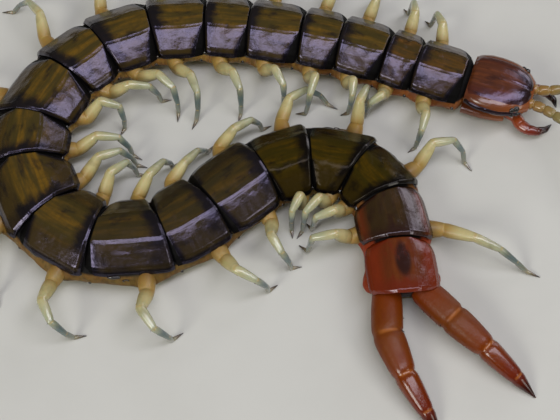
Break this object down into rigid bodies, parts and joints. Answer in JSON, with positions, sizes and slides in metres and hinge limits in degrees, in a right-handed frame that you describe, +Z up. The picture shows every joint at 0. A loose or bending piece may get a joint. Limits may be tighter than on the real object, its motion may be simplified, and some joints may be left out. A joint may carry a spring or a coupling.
{
  "type": "centipede",
  "caption": "Still life-size model of a long centipede lying in a double curve on its leg tips, with plated back, feelers and thick trailing last legs.",
  "frame": {"origin": "centre of the bounding box on the floor, below the model", "axes": "+Z up; +X to the head and feelers, the way the model is longest; +Y away from the side that the picture is taken from"},
  "size_m": [0.0766, 0.052, 0.0048],
  "materials": {
    "back_plate": "glossy dark olive-brown shell plates",
    "tail_plate": "glossy rust-red shell plate",
    "tail_leg": "glossy rust-orange shell, dark at the tip",
    "head_plate": "glossy dark red-brown shell",
    "poison_claw": "glossy dark red shell, black at the tip",
    "walking_leg": "half-clear amber shell that turns blue-green towards the foot",
    "feeler": "satin olive beads"
  },
  "bodies": {
    "root": {"feeler_left": "feeler", "feeler_right": "feeler", "head": "head_plate", "leg_left_01": "walking_leg", "leg_left_02": "walking_leg", "leg_left_03": "walking_leg", "leg_left_04": "walking_leg", "leg_left_05": "walking_leg", "leg_left_06": "walking_leg", "leg_left_07": "walking_leg", "leg_left_08": "walking_leg", "leg_left_09": "walking_leg", "leg_left_10": "walking_leg", "leg_left_11": "walking_leg", "leg_left_12": "walking_leg", "leg_left_13": "walking_leg", "leg_left_14": "walking_leg", "leg_left_15": "walking_leg", "leg_left_16": "walking_leg", "leg_left_17": "walking_leg", "leg_left_18": "walking_leg", "leg_left_19": "walking_leg", "leg_left_20": "walking_leg", "leg_right_01": "walking_leg", "leg_right_02": "walking_leg", "leg_right_03": "walking_leg", "leg_right_04": "walking_leg", "leg_right_05": "walking_leg", "leg_right_06": "walking_leg", "leg_right_07": "walking_leg", "leg_right_08": "walking_leg", "leg_right_09": "walking_leg", "leg_right_10": "walking_leg", "leg_right_11": "walking_leg", "leg_right_12": "walking_leg", "leg_right_13": "walking_leg", "leg_right_14": "walking_leg", "leg_right_15": "walking_leg", "leg_right_16": "walking_leg", "leg_right_17": "walking_leg", "leg_right_18": "walking_leg", "leg_right_19": "walking_leg", "leg_right_20": "walking_leg", "poison_claw_left": "poison_claw", "poison_claw_plate": "head_plate", "poison_claw_right": "poison_claw", "terminal_leg_left": "tail_leg", "terminal_leg_right": "tail_leg", "trunk_01": "back_plate", "trunk_02": "back_plate", "trunk_03": "back_plate", "trunk_04": "back_plate", "trunk_05": "back_plate", "trunk_06": "back_plate", "trunk_07": "tail_plate"}
  },
  "joints": []
}
